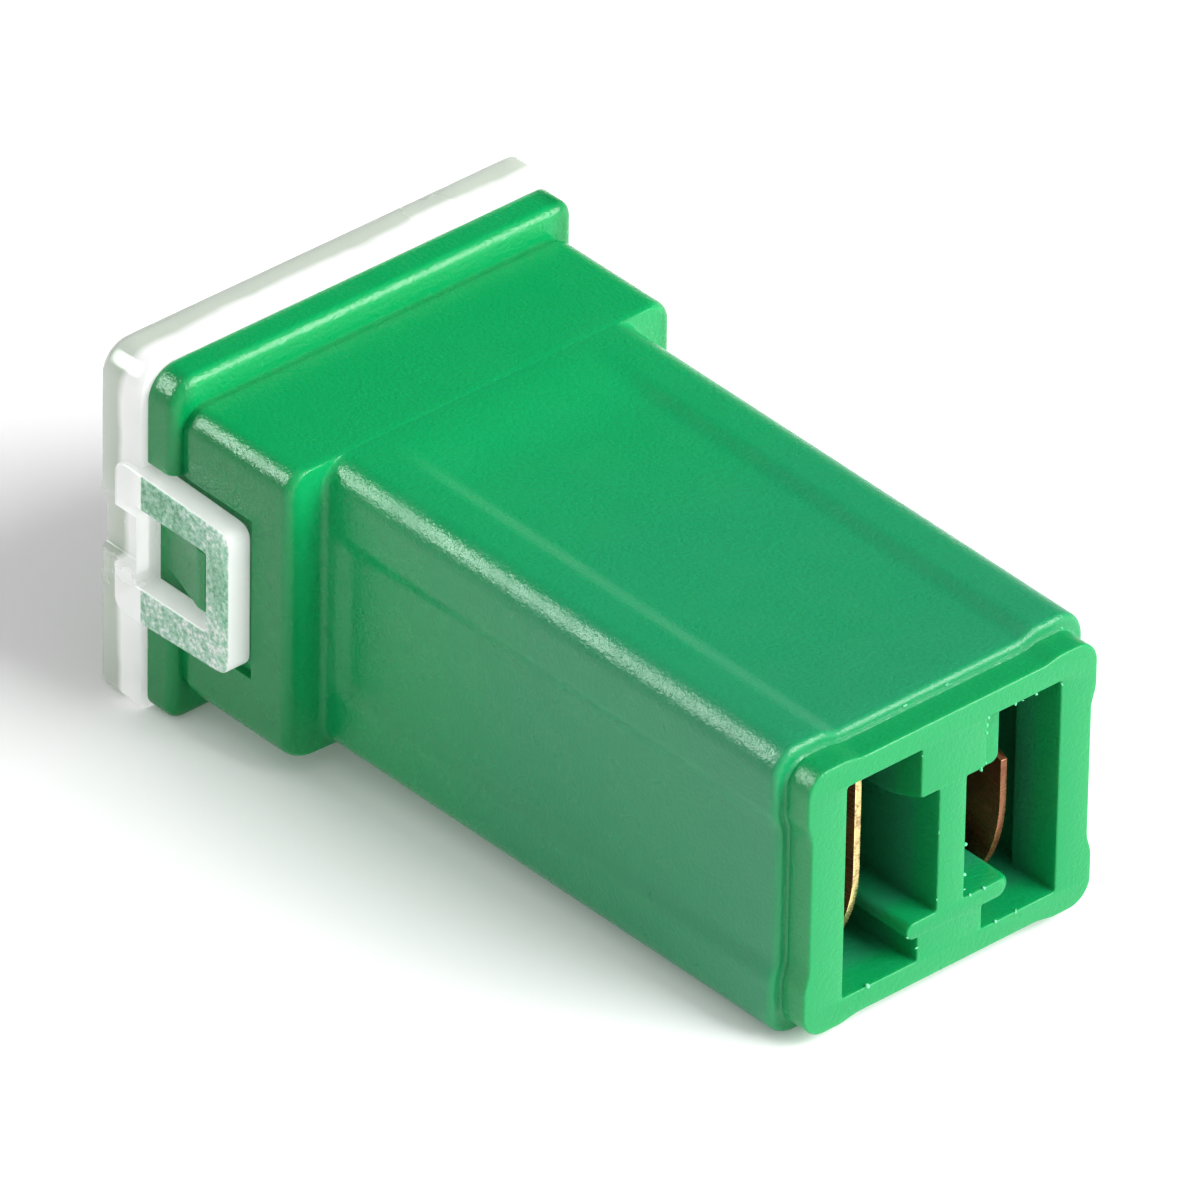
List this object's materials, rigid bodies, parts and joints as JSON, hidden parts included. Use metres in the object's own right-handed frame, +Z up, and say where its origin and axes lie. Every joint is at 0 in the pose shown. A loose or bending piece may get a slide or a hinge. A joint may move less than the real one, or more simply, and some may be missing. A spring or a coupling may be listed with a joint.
{
  "type": "cartridge fusible link",
  "caption": "Moulded cartridge fusible link with two tab receptacles at the mating end and a clear cover held by a latch loop on each side.",
  "frame": {"origin": "middle of the fuse's outline on the ground it lies on", "axes": "+X along the fuse towards the mating end, +Y across the two receptacles, +Z up through the thickness"},
  "size_m": [0.0274, 0.0158, 0.0116],
  "materials": {
    "green_plastic": "semi-gloss, moulded, fine grain",
    "clear_plastic": "clear, polished, frosted on the latch loops",
    "copper_alloy": "bright stamped sheet",
    "tin": "dull pressed tin"
  },
  "bodies": {
    "root": {"housing": "green_plastic", "cover": "clear_plastic", "fuse_element": "copper_alloy", "tin_pellet": "tin"}
  },
  "joints": []
}
